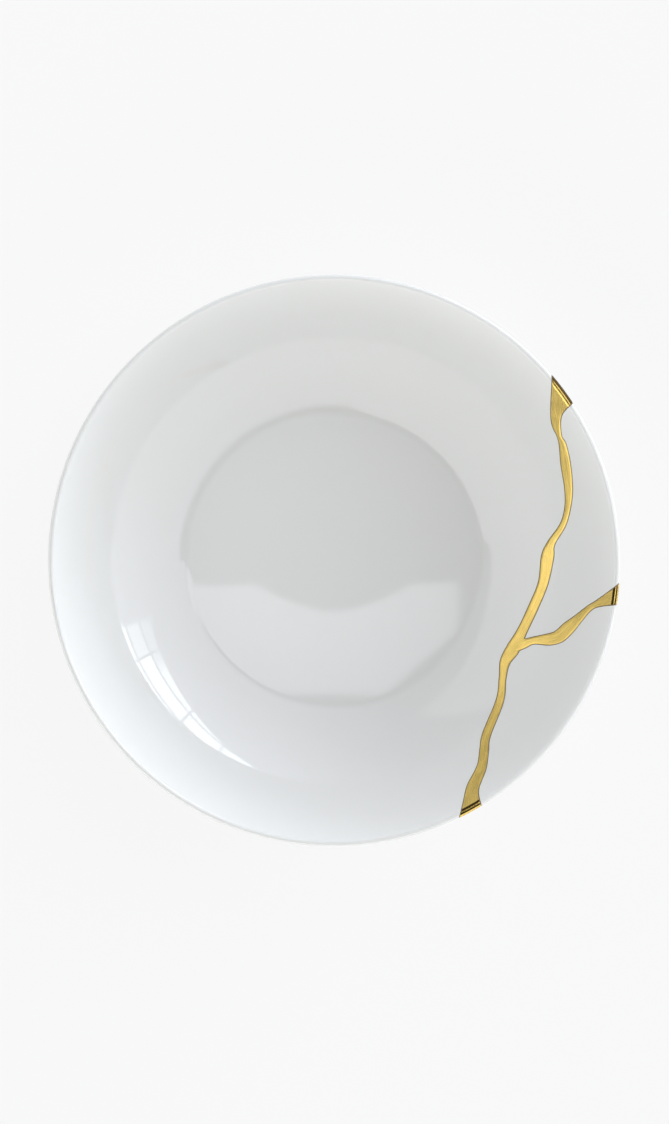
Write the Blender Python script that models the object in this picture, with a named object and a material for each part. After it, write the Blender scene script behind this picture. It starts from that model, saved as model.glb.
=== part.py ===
"""Kintsugi bowl: a white porcelain coupe bowl, broken in three at its rim and joined again by one gold seam.

The bowl is one turned profile. The crack that crosses it and the branch that leaves it are drawn in plan, and
upright cuts through the wall part the turned shape into the bowl, its two rim shards and the gold between them.
"""

import math

import bmesh
import bpy
from mathutils import Vector
from mathutils.geometry import intersect_line_line_2d

# Bowl sizes in metres
RIM_RADIUS = 0.095
HEIGHT = 0.0485
FLOOR_RADIUS = 0.049
HEEL_RADIUS = 0.008
BASE_THICKNESS = 0.0036
WALL_THICKNESS = 0.0034
LIP_THICKNESS = 0.0022

# Foot ring sizes in metres
FOOT_RADIUS = 0.047
FOOT_WIDTH = 0.0036
FOOT_HEIGHT = 0.003
FOOT_FILLET = 0.0015
FOOT_BEVEL = 0.0006

# Slopes of the inside: a slight dish at the edge of the floor, then the start of the wall
FLOOR_SLOPE = math.radians(5.5)
HEEL_SLOPE = math.radians(27)

# Clear joint between the gold and the porcelain
JOINT_GAP = 0.0003

# Fineness of the faces
WELD_DISTANCE = 0.000001
TURN_STEPS = 72
FLOOR_STEPS = 3
HEEL_STEPS = 3
WALL_STEPS = 8
LIP_STEPS = 5
FILLET_STEPS = 2
CRACK_STEPS = 3
ARC_STEP = math.radians(6)
SHARP_ANGLE = math.radians(40)

# Reach of the cutters past the bowl, and the fineness of the wall line that the foot ring is fitted to
CUT_MARGIN = 0.01
OUTLINE_STEPS = 24

# The crack: angle round the bowl in degrees, share of the rim radius, share of the gold's usual width
GOLD_WIDTH = 0.0027
MAIN_CRACK = (
    (32.8, 0.930, 1.15),
    (29.0, 0.908, 0.41),
    (26.9, 0.904, 0.67),
    (22.7, 0.887, 1.00),
    (17.1, 0.869, 0.81),
    (12.8, 0.850, 0.59),
    (8.8, 0.823, 0.59),
    (4.6, 0.778, 0.81),
    (1.0, 0.763, 1.37),
    (-6.1, 0.752, 1.07),
    (-13.2, 0.733, 1.07),
    (-20.5, 0.720, 1.07),
    (-26.4, 0.715, 1.48),
    (-30.7, 0.713, 1.11),
    (-34.8, 0.735, 0.74),
    (-40.2, 0.775, 0.81),
    (-48.8, 0.823, 0.89),
    (-51.6, 0.857, 0.96),
    (-54.5, 0.897, 1.00),
    (-58.5, 0.935, 1.30),
    (-60.3, 0.975, 2.00),
)
BRANCH_CRACK = (
    (-25.9, 0.717, 1.00),
    (-23.7, 0.742, 0.96),
    (-21.9, 0.767, 0.78),
    (-20.2, 0.814, 1.30),
    (-18.6, 0.843, 1.41),
    (-16.0, 0.864, 1.37),
    (-13.5, 0.886, 0.93),
    (-10.5, 0.916, 0.56),
    (-9.1, 0.944, 0.81),
)

# Where the gold wraps over the lip: its lowest and highest angle round the bowl in degrees
UPPER_CAP = (33.5, 40.4)
SIDE_CAP = (-8.8, -4.6)
LOWER_CAP = (-64.0, -58.8)


def clear_scene():
    for obj in list(bpy.data.objects):
        bpy.data.objects.remove(obj, do_unlink=True)


def material(name, colour, roughness, metallic):
    made = bpy.data.materials.new(name)
    made.use_nodes = True
    shader = made.node_tree.nodes["Principled BSDF"]
    shader.inputs["Base Color"].default_value = (*colour, 1.0)
    shader.inputs["Roughness"].default_value = roughness
    shader.inputs["Metallic"].default_value = metallic
    return made


def porcelain():
    return material("white_porcelain", (0.86, 0.87, 0.86), 0.08, 0.0)


def gold():
    return material("gold_lacquer", (0.78, 0.56, 0.17), 0.3, 1.0)


# The turned profile, as points (radius, height) with the slope there


def heading(slope):
    return Vector((math.cos(slope), math.sin(slope)))


def inward(slope):
    """The unit normal of the profile that points into the bowl."""
    return Vector((-math.sin(slope), math.cos(slope)))


def arc_run(start, slope, turn, length, steps):
    """Points (place, slope) along an arc that leaves start at a slope and turns by an angle over its length."""
    run = []
    for step in range(steps + 1):
        share = step / steps
        half_turn = turn * share / 2
        chord = length * share
        if abs(half_turn) > 0:
            chord *= math.sin(half_turn) / half_turn
        run.append((start + heading(slope + half_turn) * chord, slope + 2 * half_turn))
    return run


def floor_run(steps):
    centre = Vector((0, FOOT_HEIGHT + BASE_THICKNESS))
    length = FLOOR_RADIUS * FLOOR_SLOPE / math.sin(FLOOR_SLOPE)
    return arc_run(centre, 0, FLOOR_SLOPE, length, steps)


def heel_run(steps):
    start = floor_run(1)[-1][0]
    turn = HEEL_SLOPE - FLOOR_SLOPE
    return arc_run(start, FLOOR_SLOPE, turn, HEEL_RADIUS * turn, steps)


def lip_centre():
    return Vector((RIM_RADIUS - LIP_THICKNESS / 2, HEIGHT - LIP_THICKNESS / 2))


def wall_core(steps):
    """The arc half a lip's thickness below the inside, from the heel to the middle of the rounded lip."""
    start = heel_run(1)[-1][0] - inward(HEEL_SLOPE) * LIP_THICKNESS / 2
    chord = lip_centre() - start
    half_turn = math.atan2(chord.y, chord.x) - HEEL_SLOPE
    length = chord.length
    if abs(half_turn) > 0:
        length *= half_turn / math.sin(half_turn)
    return arc_run(start, HEEL_SLOPE, 2 * half_turn, length, steps)


def inside(steps):
    """Points of the inside from the middle of the floor to the lip."""
    floor = [place for place, slope in floor_run(FLOOR_STEPS)]
    heel = [place for place, slope in heel_run(HEEL_STEPS)]
    wall = [place + inward(slope) * LIP_THICKNESS / 2 for place, slope in wall_core(steps)]
    return floor + heel[1:] + wall[1:]


def lip():
    """Points round the lip between the inside and the outside."""
    slope = wall_core(1)[-1][1]
    points = []
    for step in range(1, LIP_STEPS):
        angle = slope + math.pi / 2 - math.pi * step / LIP_STEPS
        points.append(lip_centre() + heading(angle) * LIP_THICKNESS / 2)
    return points


def outside(steps):
    """Points of the outside from the lip down to the middle of the base, before the foot ring is fitted."""
    points = []
    for step, (place, slope) in enumerate(wall_core(steps)):
        thickness = WALL_THICKNESS + (LIP_THICKNESS - WALL_THICKNESS) * step / steps
        points.append(place - inward(slope) * (thickness - LIP_THICKNESS / 2))
    under = [place - inward(slope) * WALL_THICKNESS for place, slope in heel_run(steps)]
    under_floor = [place - inward(slope) * WALL_THICKNESS for place, slope in floor_run(steps)]
    line = under_floor + under[1:] + points[1:]
    return line[::-1]


def foot_start():
    """Where the outside reaches the fillet of the foot ring."""
    reach = FOOT_RADIUS + FOOT_FILLET
    line = outside(OUTLINE_STEPS)
    for upper, lower in zip(line, line[1:]):
        if upper.x >= reach > lower.x:
            return lower.lerp(upper, (reach - lower.x) / (upper.x - lower.x))
    return line[0]


def foot():
    """Points of the foot ring from its fillet to the middle of the shallow hollow under the base."""
    top = foot_start()
    inner = FOOT_RADIUS - FOOT_WIDTH
    points = []
    for step in range(FILLET_STEPS + 1):
        angle = math.pi / 2 * (1 + step / FILLET_STEPS)
        rise = Vector((math.cos(angle), math.sin(angle) - 1))
        points.append(top + rise * FOOT_FILLET)
    points.append(Vector((FOOT_RADIUS, FOOT_BEVEL)))
    points.append(Vector((FOOT_RADIUS - FOOT_BEVEL, 0)))
    points.append(Vector((inner + FOOT_BEVEL, 0)))
    points.append(Vector((inner, FOOT_BEVEL)))
    points.append(Vector((inner, FOOT_HEIGHT - FOOT_BEVEL)))
    points.append(Vector((inner - FOOT_BEVEL, FOOT_HEIGHT)))
    points.append(Vector((0, FOOT_HEIGHT)))
    return points


def profile():
    start = foot_start()
    wall = [point for point in outside(WALL_STEPS) if point.x > start.x + FOOT_BEVEL]
    return inside(WALL_STEPS) + lip() + wall + foot()


def turned_bowl(name):
    """The whole bowl as one closed mesh, turned from its profile."""
    bm = bmesh.new()
    points = [bm.verts.new((point.x, 0, point.y)) for point in profile()]
    edges = [bm.edges.new(pair) for pair in zip(points, points[1:])]
    bmesh.ops.spin(
        bm,
        geom=points + edges,
        axis=(0, 0, 1),
        cent=(0, 0, 0),
        steps=TURN_STEPS,
        angle=2 * math.pi,
        use_merge=True,
    )
    bmesh.ops.remove_doubles(bm, verts=bm.verts, dist=WELD_DISTANCE)
    bmesh.ops.recalc_face_normals(bm, faces=bm.faces)
    mesh = bpy.data.meshes.new(name)
    bm.to_mesh(mesh)
    bm.free()
    mesh.shade_smooth()
    mesh.set_sharp_from_angle(angle=SHARP_ANGLE)
    return mesh


# The crack in plan


def around(degrees, radius):
    return Vector((math.cos(math.radians(degrees)), math.sin(math.radians(degrees)))) * radius


def lip_corner(cap, highest, clearance):
    """The end of a cap on the lip, as an angle, with the clearance left beside the gold."""
    spread = math.degrees(clearance / RIM_RADIUS)
    return cap[1] + spread if highest else cap[0] - spread


def smooth_line(points):
    """A curve through the points, by the rule of Catmull and Rom."""
    ends = [points[0]] + points + [points[-1]]
    line = []
    for before, start, end, after in zip(ends, ends[1:], ends[2:], ends[3:]):
        for step in range(CRACK_STEPS):
            t = step / CRACK_STEPS
            line.append(
                0.5
                * (
                    2 * start
                    + (end - before) * t
                    + (2 * before - 5 * start + 4 * end - after) * t**2
                    + (3 * start - before - 3 * end + after) * t**3
                )
            )
    return line + [points[-1]]


def crack_side(stations, hand, clearance, first_corner=None, last_corner=None):
    """One side of a crack in plan, on its left hand (1) or its right (-1), run out past the lip at each corner."""
    centres = [around(angle, share * RIM_RADIUS) for angle, share, width in stations]
    points = []
    for index, (angle, share, width) in enumerate(stations):
        before = centres[max(index - 1, 0)]
        after = centres[min(index + 1, len(centres) - 1)]
        along = (after - before).normalized()
        aside = Vector((-along.y, along.x)) * hand
        points.append(centres[index] + aside * (width * GOLD_WIDTH / 2 + clearance))
    reach = RIM_RADIUS + CUT_MARGIN
    if first_corner is not None:
        points.insert(0, around(first_corner, RIM_RADIUS))
    if last_corner is not None:
        points.append(around(last_corner, RIM_RADIUS))
    line = smooth_line(points)
    if first_corner is not None:
        line.insert(0, around(first_corner, reach))
    if last_corner is not None:
        line.append(around(last_corner, reach))
    return line


def bowl_side(clearance):
    """The side of the main crack that the bowl keeps, from the upper cap down to the lower one."""
    return crack_side(
        MAIN_CRACK,
        -1,
        clearance,
        lip_corner(UPPER_CAP, True, clearance),
        lip_corner(LOWER_CAP, False, clearance),
    )


def shard_side(clearance):
    """The other side of the main crack, along both rim shards."""
    return crack_side(
        MAIN_CRACK,
        1,
        clearance,
        lip_corner(UPPER_CAP, False, clearance),
        lip_corner(LOWER_CAP, True, clearance),
    )


def branch_side(hand, clearance):
    """A side of the branch, from the main crack out to the cap at the side of the bowl."""
    corner = lip_corner(SIDE_CAP, hand > 0, clearance)
    return crack_side(BRANCH_CRACK, hand, clearance, last_corner=corner)


def crossing(first, second):
    """Where two lines first meet: the place, and the index in each line of the point after it."""
    for far, (start, end) in enumerate(zip(second, second[1:])):
        for near, (low, high) in enumerate(zip(first, first[1:])):
            place = intersect_line_line_2d(low, high, start, end)
            if place is not None:
                return place, near + 1, far + 1
    raise ValueError("the branch of the crack doesn't leave the main crack")


def upper_shard_side(clearance):
    """From the side cap in along the branch, then up the main crack to the upper cap."""
    main = shard_side(clearance)
    branch = branch_side(1, clearance)
    place, on_main, on_branch = crossing(main, branch)
    return branch[on_branch:][::-1] + [place] + main[:on_main][::-1]


def lower_shard_side(clearance):
    """From the lower cap up the main crack, then out along the branch to the side cap."""
    main = shard_side(clearance)
    branch = branch_side(-1, clearance)
    place, on_main, on_branch = crossing(main, branch)
    return main[on_main:][::-1] + [place] + branch[on_branch:]


def arc_back(line):
    """Points that close a line round the outside of the bowl, from its last point to its first."""
    start = math.atan2(line[-1].y, line[-1].x)
    end = math.atan2(line[0].y, line[0].x)
    count = max(2, round(abs(end - start) / ARC_STEP))
    reach = (RIM_RADIUS + CUT_MARGIN) / math.cos(ARC_STEP / 2)
    angles = [start + (end - start) * step / count for step in range(1, count)]
    return [Vector((math.cos(angle), math.sin(angle))) * reach for angle in angles]


def bowl_cut():
    """All that is on the far side of the main crack from the bowl, in plan."""
    line = bowl_side(JOINT_GAP)
    return line + arc_back(line)


def upper_shard_cut():
    line = upper_shard_side(JOINT_GAP)
    return line + arc_back(line)


def lower_shard_cut():
    line = lower_shard_side(JOINT_GAP)
    return line + arc_back(line)


def gold_cut():
    """The gold in plan: down the bowl's side of the main crack, then back along both shards."""
    return bowl_side(0) + lower_shard_side(0) + upper_shard_side(0)


# Objects


def cutter(name, outline):
    """An upright prism over an outline in plan, taller than the bowl."""
    bm = bmesh.new()
    points = [bm.verts.new((point.x, point.y, -CUT_MARGIN)) for point in outline]
    bottom = bm.faces.new(points)
    grown = bmesh.ops.extrude_face_region(bm, geom=[bottom])
    top = [item for item in grown["geom"] if isinstance(item, bmesh.types.BMVert)]
    bmesh.ops.translate(bm, verts=top, vec=(0, 0, HEIGHT + 2 * CUT_MARGIN))
    bmesh.ops.recalc_face_normals(bm, faces=bm.faces)
    mesh = bpy.data.meshes.new(name)
    bm.to_mesh(mesh)
    bm.free()
    obj = bpy.data.objects.new(name, mesh)
    obj.hide_render = True
    obj.display_type = "WIRE"
    bpy.context.collection.objects.link(obj)
    return obj


def cut_piece(name, finish, outline, operation, parent):
    """A piece of the turned bowl, inside or outside an outline in plan."""
    mesh = turned_bowl(name)
    mesh.materials.append(finish)
    obj = bpy.data.objects.new(name, mesh)
    bpy.context.collection.objects.link(obj)
    knife = cutter(name + "_cut", outline)
    modifier = obj.modifiers.new("crack", "BOOLEAN")
    modifier.operation = operation
    modifier.solver = "EXACT"
    modifier.object = knife
    obj.parent = parent
    knife.parent = parent
    return obj


def build():
    clear_scene()
    vessel = bpy.data.objects.new("kintsugi_bowl", None)
    bpy.context.collection.objects.link(vessel)
    cut_piece("bowl_body", porcelain(), bowl_cut(), "DIFFERENCE", vessel)
    cut_piece("upper_rim_shard", porcelain(), upper_shard_cut(), "INTERSECT", vessel)
    cut_piece("lower_rim_shard", porcelain(), lower_shard_cut(), "INTERSECT", vessel)
    cut_piece("gold_seam", gold(), gold_cut(), "INTERSECT", vessel)


build()
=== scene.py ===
"""The looks of a kintsugi bowl: glazed white porcelain in three pieces, joined by a raised gold seam.

The bowl is turned from its profile by Geometry Nodes and cut along the crack. The gold is meshed over the
turned surface, from the crack's outline. Its height and its colour come from the distance to its edge.
"""

import math

import bmesh
import bpy
import numpy as np
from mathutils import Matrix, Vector, kdtree
from mathutils.geometry import delaunay_2d_cdt, intersect_line_line_2d


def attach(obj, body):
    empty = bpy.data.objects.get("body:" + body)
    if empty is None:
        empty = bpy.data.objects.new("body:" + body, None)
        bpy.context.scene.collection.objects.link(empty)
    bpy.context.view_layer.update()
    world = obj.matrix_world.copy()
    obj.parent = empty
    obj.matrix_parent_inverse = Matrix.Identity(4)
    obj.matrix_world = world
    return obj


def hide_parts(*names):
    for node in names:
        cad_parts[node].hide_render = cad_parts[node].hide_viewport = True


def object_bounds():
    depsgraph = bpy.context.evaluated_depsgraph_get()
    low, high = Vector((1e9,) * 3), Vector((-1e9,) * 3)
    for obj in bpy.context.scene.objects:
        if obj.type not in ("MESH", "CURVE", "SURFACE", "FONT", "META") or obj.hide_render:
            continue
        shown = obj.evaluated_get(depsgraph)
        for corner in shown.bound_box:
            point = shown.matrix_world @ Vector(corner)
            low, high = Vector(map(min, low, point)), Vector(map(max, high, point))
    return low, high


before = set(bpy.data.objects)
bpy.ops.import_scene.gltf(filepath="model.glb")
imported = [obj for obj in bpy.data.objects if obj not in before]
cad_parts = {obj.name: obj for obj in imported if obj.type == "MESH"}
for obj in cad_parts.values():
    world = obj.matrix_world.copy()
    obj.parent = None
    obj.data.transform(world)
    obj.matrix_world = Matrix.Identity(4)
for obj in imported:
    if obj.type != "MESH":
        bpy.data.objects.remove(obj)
CAD_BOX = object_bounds()

bl_info = {
    "name": "Kintsugi Bowl",
    "version": (1, 0, 0),
    "blender": (4, 5, 0),
    "location": "3D View > Sidebar > Kintsugi Bowl",
    "description": "Makes a porcelain bowl that was broken at its rim and joined again with gold",
    "category": "Add Mesh",
}

BODY = "root"

# The photograph's frame in pixels, and where the middle of the bowl is in it
PHOTO_WIDTH = 669
PHOTO_HEIGHT = 1124
PHOTO_BOWL_X = 334.0
PHOTO_BOWL_Y = 560.5
PHOTO_RIM_RADIUS = 286.0

# The crack: angle round the bowl in degrees, share of the rim radius, share of the gold's usual width
MAIN_CRACK = (
    (32.8, 0.930, 1.15),
    (29.0, 0.908, 0.41),
    (26.9, 0.904, 0.67),
    (22.7, 0.887, 1.00),
    (17.1, 0.869, 0.81),
    (12.8, 0.850, 0.59),
    (8.8, 0.823, 0.59),
    (4.6, 0.778, 0.81),
    (1.0, 0.763, 1.37),
    (-6.1, 0.752, 1.07),
    (-13.2, 0.733, 1.07),
    (-20.5, 0.720, 1.07),
    (-26.4, 0.715, 1.48),
    (-30.7, 0.713, 1.11),
    (-34.8, 0.735, 0.74),
    (-40.2, 0.775, 0.81),
    (-48.8, 0.823, 0.89),
    (-51.6, 0.857, 0.96),
    (-54.5, 0.897, 1.00),
    (-58.5, 0.935, 1.30),
    (-60.3, 0.975, 2.00),
)
BRANCH_CRACK = (
    (-25.9, 0.717, 1.00),
    (-23.7, 0.742, 0.96),
    (-21.9, 0.767, 0.78),
    (-20.2, 0.814, 1.30),
    (-18.6, 0.843, 1.41),
    (-16.0, 0.864, 1.37),
    (-13.5, 0.886, 0.93),
    (-10.5, 0.916, 0.56),
    (-9.1, 0.944, 0.81),
)

# Where the gold wraps over the lip: its lowest and highest angle round the bowl in degrees
UPPER_CAP = (33.5, 40.4)
SIDE_CAP = (-8.8, -4.6)
LOWER_CAP = (-64.0, -58.8)

# Dark lines painted along the rim on each cap, a painted reflection of the dark room in the lip's outer
# edge: the cap, and how far in from the rim the line starts and ends
PAINTED_REFLECTION_LINES = (
    (UPPER_CAP, -0.0010, 0.0009),
    (SIDE_CAP, 0.0004, 0.0009),
    (SIDE_CAP, 0.0012, 0.0020),
    (LOWER_CAP, 0.0006, 0.0012),
    (LOWER_CAP, 0.0015, 0.0022),
)
LINE_SOFTNESS = 0.0001
LINE_OVERRUN = 2.0
LINE_DEPTH = 0.0025

# The lights in degrees: elevations, and sides, where 0 is left of the bowl and 90 is before it. An edge that
# fades has two numbers, where it starts and where it ends
HORIZON = -6.0
WALL_TOP = 36.0
WALL_SIDES = ((-62, -59), (172, 178))
RAISED_SIDES = ((4, 13), (68, 88))
RAISED_BY = 7.5
LOW_SIDES = ((10, 40), (90, 120))
LOW_TOP = (5, 8)
OVERHEAD = (42, 80)
WINDOW_AZIMUTH = 10.0

# The panel and the window in their own planes, as shares of the distance to the plane
PANEL_WIDTH = ((-0.14, -0.125), (0.62, 0.68))
WINDOW_WIDTH = ((0.11, 0.15), (1.60, 1.66))
WINDOW_FOOT = ((0.11, 0.15), (1.58, 1.62))
WINDOW_TOP = 0.398
UPRIGHT_BARS = (0.306, 0.745, 1.15)
LEVEL_BARS = (0.170, 0.290)

# Tints of the lights, and the plain backdrop that the camera sees
BACKDROP = 0.939
COOL = (0.975, 0.985, 1.055)
LIGHT_TINTS = {
    "window": (0.92, 1.02, 1.07),
    "side_room": COOL,
    "panel": COOL,
    "ceiling": (1.0, 0.97, 0.4),
}

# Fineness of the meshes
TURN_STEPS = 240
FLOOR_STEPS = 26
HEEL_STEPS = 16
WALL_STEPS = 56
LIP_STEPS = 16
ROUND_STEPS = 5
BASE_STEPS = 16
CRACK_STEPS = 12
OUTLINE_STEP = 0.00035
GOLD_GRID = 0.00055
GOLD_RINGS = (0.00012, 0.00024, 0.00036, 0.0005, 0.00068, 0.0009)
WELD_DISTANCE = 0.000001
CUT_MARGIN = 0.01
ARC_STEP = math.radians(3)
NORMAL_SAMPLES = 6000

# How fine the brush's streaks are, per metre along the crack, across it and upwards
BRUSH_SCALE = (90.0, 2600.0, 200.0)


def length_property(name, description, default):
    return bpy.props.FloatProperty(
        name=name, description=description, default=default, min=0.0, unit="LENGTH", precision=5
    )


def angle_property(name, description, degrees):
    return bpy.props.FloatProperty(
        name=name, description=description, default=math.radians(degrees), subtype="ANGLE"
    )


def colour_property(name, description, default):
    return bpy.props.FloatVectorProperty(
        name=name, description=description, default=default, size=3, min=0.0, max=1.0, subtype="COLOR"
    )


def light_property(name, description, default):
    return bpy.props.FloatProperty(name=name, description=description, default=default, min=0.0)


class BowlSizes(bpy.types.PropertyGroup):
    """Sizes of the turned porcelain."""

    rim_radius: length_property("Rim radius", "Radius of the bowl at its lip", CAD_BOX[1].x)
    height: length_property("Height", "Height of the lip over the table", 0.0485)
    floor_radius: length_property("Floor radius", "Radius of the nearly flat floor", 0.049)
    heel_radius: length_property("Heel radius", "Radius of the curve between floor and wall", 0.008)
    base_thickness: length_property("Base thickness", "Thickness in the middle of the floor", 0.0036)
    wall_thickness: length_property("Wall thickness", "Thickness of the wall at the heel", 0.0034)
    lip_thickness: length_property("Lip thickness", "Thickness of the rounded lip", 0.0022)
    floor_slope: angle_property("Floor slope", "Slope at the edge of the floor", 5.5)
    heel_slope: angle_property("Heel slope", "Slope where the wall starts", 27.0)
    foot_radius: length_property("Foot radius", "Outer radius of the foot ring", 0.047)
    foot_width: length_property("Foot width", "Width of the foot ring", 0.0036)
    foot_height: length_property("Foot height", "Depth of the hollow under the base", 0.003)
    foot_fillet: length_property("Foot fillet", "Radius between foot ring and wall", 0.0015)
    foot_round: length_property("Foot rounding", "Radius of the foot ring's edges", 0.0006)


class SeamSizes(bpy.types.PropertyGroup):
    """Sizes of the gold seam."""

    gold_width: length_property("Gold width", "Usual width of the gold", 0.0027)
    joint_gap: length_property("Joint gap", "Gap that the porcelain keeps beside the gold", 0.0003)
    lacquer_width: length_property("Lacquer width", "Width of the brown line at the gold's edge", 0.0003)
    lacquer_reach: length_property("Lacquer reach", "How far the lacquer goes into the gap", 0.00026)
    gold_height: length_property("Gold height", "Height of the gold over the glaze", 0.00012)
    lacquer_height: length_property("Lacquer height", "Height of the lacquer over the glaze", 0.00002)
    shoulder: length_property("Shoulder", "Width over which the gold rises", 0.0007)
    skin: length_property("Skin", "Thickness of the gold and lacquer layer", 0.0008)


class BowlFinish(bpy.types.PropertyGroup):
    """Colours of the bowl."""

    glaze: colour_property("Glaze", "Colour of the glazed porcelain", (0.78, 0.79, 0.78))
    bare: colour_property("Bare clay", "Colour of the unglazed foot", (0.78, 0.74, 0.68))
    gold: colour_property("Gold", "Colour of the gold", (0.80, 0.58, 0.17))
    lacquer: colour_property("Lacquer", "Colour of the line beside the gold", (0.16, 0.10, 0.03))


class StageSettings(bpy.types.PropertyGroup):
    """The camera, the floor and the lights."""

    camera_height: length_property("Camera height", "Height of the camera over the lip", 1.1)
    floor_size: length_property("Floor size", "Half the width of the floor", 3.0)
    floor_glow: light_property("Floor glow", "Light that the pale floor gives off", 0.81)
    wall: light_property("Bright wall", "Light of the white wall on the left", 1.64)
    ceiling: light_property("Ceiling", "Light of the dark ceiling", 0.09)
    gradient: light_property("Gradient", "Light from above that grows towards the window", 1.2)
    side_room: light_property("Side room", "Light of the room round the window", 1.44)
    far_room: light_property("Far room", "Light of the dark end of the room", 0.46)
    low_near: light_property("Low glow", "Light near the floor before the bowl", 2.9)
    low_window: light_property("Window's foot", "Light of the window's low end, out of the mirror", 2.85)
    panel: light_property("Panel", "Light of the soft panel beside the camera", 1.6)
    window: light_property("Window", "Light of the window", 3.8)


GROUPS = {
    "bowl_sizes": BowlSizes,
    "seam_sizes": SeamSizes,
    "bowl_finish": BowlFinish,
    "bowl_stage": StageSettings,
}


# Node trees written as expressions


class Value:
    """A number in a node tree. Sums, products and powers with it add Math nodes."""

    def __init__(self, graph, socket):
        self.graph = graph
        self.socket = socket

    def math(self, operation, *others):
        return self.graph.add(
            "ShaderNodeMath", {"operation": operation}, {i: v for i, v in enumerate((self, *others))}
        )

    def __add__(self, other):
        return self.math("ADD", other)

    def __radd__(self, other):
        return self.math("ADD", other)

    def __sub__(self, other):
        return self.math("SUBTRACT", other)

    def __rsub__(self, other):
        return self.graph.add("ShaderNodeMath", {"operation": "SUBTRACT"}, {0: other, 1: self})

    def __mul__(self, other):
        return self.math("MULTIPLY", other)

    def __rmul__(self, other):
        return self.math("MULTIPLY", other)

    def __truediv__(self, other):
        return self.math("DIVIDE", other)

    def __pow__(self, other):
        return self.math("POWER", other)

    def over(self, other):
        """1 where this is greater than the other, else 0."""
        return self.math("GREATER_THAN", other)

    def ramp(self, low, high):
        """0 below low, 1 above high, smooth between them. Low may be the greater one."""
        settings = {"interpolation_type": "SMOOTHSTEP"}
        sockets = {"Value": self, "From Min": low, "From Max": high}
        return self.graph.add("ShaderNodeMapRange", settings, sockets, "Result")

    def band(self, rise, fall):
        """1 between two edges that fade."""
        return self.ramp(*rise) * (1 - self.ramp(*fall))


class Graph:
    """A node tree to which nodes are added by type, with their settings and the values of their sockets."""

    def __init__(self, tree):
        self.tree = tree

    def node(self, kind, settings=(), sockets=()):
        made = self.tree.nodes.new(kind)
        for key, value in dict(settings).items():
            setattr(made, key, value)
        for key, value in dict(sockets).items():
            if isinstance(value, Value):
                self.tree.links.new(value.socket, made.inputs[key])
            elif value is not None:
                made.inputs[key].default_value = value
        return made

    def add(self, kind, settings=(), sockets=(), output=0):
        return Value(self, self.node(kind, settings, sockets).outputs[output])

    def mix(self, share, first, second):
        """A colour between two colours."""
        node = self.node("ShaderNodeMix", {"data_type": "RGBA"})
        for socket, value in zip((node.inputs[0], node.inputs[6], node.inputs[7]), (share, first, second)):
            if isinstance(value, Value):
                self.tree.links.new(value.socket, socket)
            elif isinstance(value, (int, float)):
                socket.default_value = value
            else:
                socket.default_value = (*value, 1.0)
        return Value(self, node.outputs[2])

    def object_place(self):
        """The place on the piece, in metres."""
        return self.add("ShaderNodeTexCoord", output="Object")

    def split(self, vector):
        node = self.node("ShaderNodeSeparateXYZ", sockets={0: vector})
        return [Value(self, output) for output in node.outputs]

    def noise(self, place, scale, detail=2.0):
        return self.add("ShaderNodeTexNoise", {}, {"Vector": place, "Scale": scale, "Detail": detail}, "Fac")


def toned(colour, factor):
    """A colour made darker, or lighter with a factor over 1."""
    return tuple(min(1.0, part * factor) for part in colour)


def new_material(name):
    made = bpy.data.materials.new(name)
    made.use_nodes = True
    made.node_tree.nodes.clear()
    graph = Graph(made.node_tree)
    shader = graph.node("ShaderNodeBsdfPrincipled")
    graph.node("ShaderNodeOutputMaterial", sockets={"Surface": Value(graph, shader.outputs[0])})
    return made, graph, shader


def feed(graph, shader, **sockets):
    """Sets or links the sockets of a shader, named with _ for a space."""
    for name, value in sockets.items():
        socket = shader.inputs[name.replace("_", " ").title().replace("Ior", "IOR")]
        if isinstance(value, Value):
            graph.tree.links.new(value.socket, socket)
        else:
            socket.default_value = value


# Materials


def porcelain_material(finish, sizes):
    """Glossy white glaze with a faint pull, bare clay where the foot ring stands."""
    made, graph, shader = new_material("white_glaze")
    place = graph.object_place()
    bare = 1 - graph.split(place)[2].ramp(sizes.foot_round * 0.5, sizes.foot_round * 1.2)
    cloud = graph.noise(place, 18.0)
    grain = graph.noise(place, 2500.0)
    glaze = graph.mix(cloud, toned(finish.glaze, 0.985), tuple(finish.glaze))
    colour = graph.mix(bare, glaze, tuple(finish.bare))
    pull = graph.noise(place, 30.0, 1.0)
    height = pull * (1 - bare) + grain * bare * 0.6
    bump = graph.add(
        "ShaderNodeBump", {}, {"Strength": 0.12, "Distance": 0.0006, "Height": height}, "Normal"
    )
    feed(graph, shader, base_color=colour, roughness=bare * 0.6 + 0.03, normal=bump, ior=1.62)
    return made


def painted_reflection_lines(graph, place, sizes):
    """1 on the dark lines painted along the rim, on top of the caps: a painted reflection of the dark room
    in the lip's outer edge, in near-black lacquer colour.
    """
    x, y, z = graph.split(place)
    angle = y.math("ARCTAN2", x) * (180 / math.pi)
    depth = sizes.rim_radius - (x * x + y * y) ** 0.5
    soft = LINE_SOFTNESS
    total = 0.0
    for (low, high), start, end in PAINTED_REFLECTION_LINES:
        reach = (high - low) / 2 + LINE_OVERRUN
        near = 1 - (angle - (low + high) / 2).math("ABSOLUTE").ramp(reach, reach + 1)
        begun, ended = depth.ramp(start - soft, start + soft), depth.ramp(end - soft, end + soft)
        total = total + near * begun * (1 - ended)
    return total * z.over(sizes.height - LINE_DEPTH)


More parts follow.
